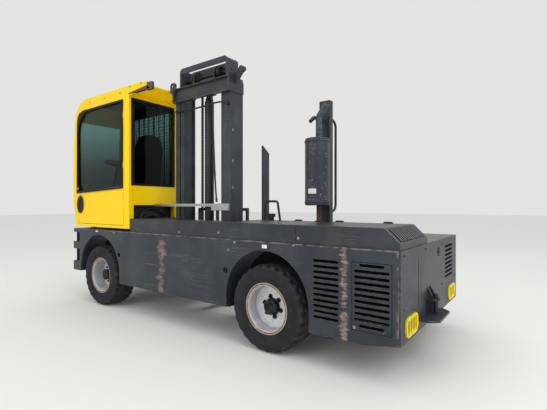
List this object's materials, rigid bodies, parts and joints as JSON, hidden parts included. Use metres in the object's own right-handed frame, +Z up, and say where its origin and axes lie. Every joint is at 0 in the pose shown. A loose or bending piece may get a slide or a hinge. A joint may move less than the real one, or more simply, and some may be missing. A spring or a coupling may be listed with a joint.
{
  "type": "side loader forklift",
  "caption": "Side loading forklift truck with a cab at one end, a mast that reaches across a well in the frame, load decks and an engine hood.",
  "frame": {"origin": "on the ground under the middle of the overall box", "axes": "+X forward, towards the cab; +Y to the driver's left, the cab side; +Z up"},
  "size_m": [5.3036, 2.08, 3.27],
  "materials": {
    "frame_paint": "satin, worn",
    "cab_paint": "gloss",
    "mast_paint": "satin, worn",
    "deck_paint": "worn and rusty",
    "black_paint": "satin",
    "machinery": "greasy",
    "tyre_rubber": "matt",
    "rim_paint": "satin silver, rusty at the edge",
    "glass": "tinted",
    "seat_fabric": "matt",
    "aluminium": "drawn",
    "bright_steel": "polished",
    "lamp_orange": "gloss",
    "black_plastic": "matt",
    "guard_paint": "gloss"
  },
  "bodies": {
    "chassis": {"side_frame_left": "frame_paint", "side_frame_right": "frame_paint", "end_walls": "frame_paint", "cab_steps": "frame_paint", "decks": "deck_paint", "well_bulkheads": "frame_paint", "reach_rails": "frame_paint", "spine": "frame_paint", "belly_plate": "frame_paint", "engine_block": "machinery", "hood_cover_rear": "frame_paint", "hood_cover_front": "frame_paint", "muffler": "black_paint", "exhaust_pipes": "black_paint", "exhaust_guard": "black_paint", "load_stop": "frame_paint", "filler_guard": "black_paint", "cab_floor": "cab_paint", "cab_right_wall": "cab_paint", "cab_left_frame": "cab_paint", "cab_front": "cab_paint", "cab_roof": "cab_paint", "cab_rear_wall": "cab_paint", "cab_glass": "glass", "window_guard": "black_paint", "seat": "seat_fabric", "steering_column": "black_plastic", "tow_coupling": "frame_paint", "rear_lamps": "lamp_orange", "lamp_guards": "guard_paint", "front_axle": "machinery", "steer_axle": "machinery"},
    "engine_hood": {"hood_lid": "frame_paint"},
    "door": {"door_frame": "cab_paint", "door_glass": "glass"},
    "knuckle_left": {"knuckle_left": "machinery"},
    "knuckle_right": {"knuckle_right": "machinery"},
    "steer_rod": {"steer_rod": "bright_steel"},
    "wheel_rear_left": {"tyre_rear_left": "tyre_rubber", "rim_rear_left": "rim_paint"},
    "wheel_rear_right": {"tyre_rear_right": "tyre_rubber", "rim_rear_right": "rim_paint"},
    "wheel_front_left": {"tyre_front_left": "tyre_rubber", "rim_front_left": "rim_paint"},
    "wheel_front_right": {"tyre_front_right": "tyre_rubber", "rim_front_right": "rim_paint"},
    "reach_frame": {"reach_frame": "mast_paint"},
    "tilt_rods": {"tilt_rods": "bright_steel"},
    "outer_mast": {"outer_mast": "mast_paint", "mast_pins": "bright_steel", "lift_cylinder": "black_paint", "guide_rail": "aluminium", "mast_hoses": "black_plastic"},
    "inner_mast": {"inner_mast": "mast_paint", "chain_sheaves": "machinery", "lift_rod": "bright_steel", "chain_carriage_strands": "machinery", "chain_anchor_strands": "machinery"},
    "fork_carriage": {"fork_carriage": "mast_paint", "forks": "mast_paint"}
  },
  "joints": [
    {"name": "hood_hinge", "type": "hinge", "parent": "chassis", "child": "engine_hood", "pos_m": [-1.565, 0.215, 1.27], "axis": [1, 0, 0], "range_deg": [0, 70]},
    {"name": "door_hinge", "type": "hinge", "parent": "chassis", "child": "door", "pos_m": [1.2675, 1.03, 2], "axis": [0, 0, 1], "range_deg": [0, 95]},
    {"name": "steer_left", "type": "hinge", "parent": "chassis", "child": "knuckle_left", "pos_m": [-1.16, 0.8, 0.4315], "axis": [0, 0, 1], "range_deg": [-35, 35]},
    {"name": "steer_right", "type": "hinge", "parent": "chassis", "child": "knuckle_right", "pos_m": [-1.16, -0.8, 0.4315], "axis": [0, 0, 1], "range_deg": [-35, 35]},
    {"name": "steer_rod_slide", "type": "slide", "parent": "chassis", "child": "steer_rod", "axis": [0, 1, 0], "range_m": [-0.068, 0.068]},
    {"name": "spin_rear_left", "type": "hinge", "parent": "knuckle_left", "child": "wheel_rear_left", "pos_m": [-1.16, 0.87, 0.4315], "axis": [0, 1, 0], "continuous": true},
    {"name": "spin_rear_right", "type": "hinge", "parent": "knuckle_right", "child": "wheel_rear_right", "pos_m": [-1.16, -0.87, 0.4315], "axis": [0, 1, 0], "continuous": true},
    {"name": "spin_front_left", "type": "hinge", "parent": "chassis", "child": "wheel_front_left", "pos_m": [1.87, 0.87, 0.4315], "axis": [0, 1, 0], "continuous": true},
    {"name": "spin_front_right", "type": "hinge", "parent": "chassis", "child": "wheel_front_right", "pos_m": [1.87, -0.87, 0.4315], "axis": [0, 1, 0], "continuous": true},
    {"name": "mast_reach", "type": "slide", "parent": "chassis", "child": "reach_frame", "axis": [0, -1, 0], "range_m": [0, 1.2]},
    {"name": "mast_tilt", "type": "hinge", "parent": "reach_frame", "child": "outer_mast", "pos_m": [0.15, 0.53, 0.3], "axis": [1, 0, 0], "range_deg": [-4, 4]},
    {"name": "tilt_rod_slide", "type": "slide", "parent": "reach_frame", "child": "tilt_rods", "axis": [0, -1, 0], "range_m": [-0.032, 0.032]},
    {"name": "mast_lift", "type": "slide", "parent": "outer_mast", "child": "inner_mast", "axis": [0, 0, 1], "range_m": [0, 1.75], "deforming": ["chain_anchor_strands"]},
    {"name": "carriage_lift", "type": "slide", "parent": "inner_mast", "child": "fork_carriage", "axis": [0, 0, 1], "range_m": [0, 1.75], "deforming": ["chain_carriage_strands"]}
  ],
  "couplings": [
    {"joint": "steer_right", "follows": "steer_left", "ratio": 1},
    {"joint": "steer_rod_slide", "follows": "steer_left", "m_per_rad": 0.11},
    {"joint": "tilt_rod_slide", "follows": "mast_tilt", "m_per_rad": 0.45},
    {"joint": "carriage_lift", "follows": "mast_lift", "ratio": 1}
  ]
}
